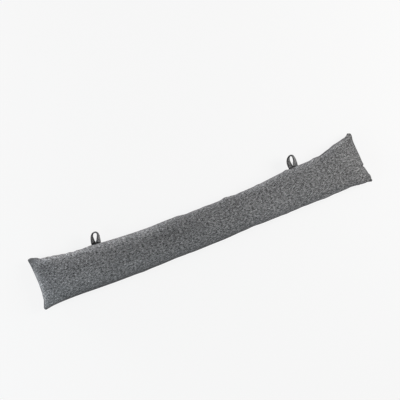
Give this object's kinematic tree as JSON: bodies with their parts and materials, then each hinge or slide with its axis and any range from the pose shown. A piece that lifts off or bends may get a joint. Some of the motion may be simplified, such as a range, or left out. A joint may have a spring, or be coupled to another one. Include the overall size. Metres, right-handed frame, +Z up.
{
  "type": "draught excluder",
  "caption": "Long filled tube of herringbone tweed with pinched corners and hanging loops in its top seam, laid along the foot of a door to stop draughts.",
  "frame": {"origin": "on the surface that the excluder lies on, under the middle of its outline", "axes": "+X along the excluder to its right end, +Y to the long seam that holds the hanging loops, +Z up, out of its face"},
  "size_m": [0.9, 0.1436, 0.0804],
  "materials": {
    "tweed": "matt mid-grey herringbone tweed of light and dark yarns, slightly hairy",
    "loop_strip": "matt grey tweed strip, folded lengthwise and stitched"
  },
  "bodies": {
    "root": {"cover": "tweed", "hanging_loop_left": "loop_strip", "hanging_loop_right": "loop_strip"}
  },
  "joints": []
}
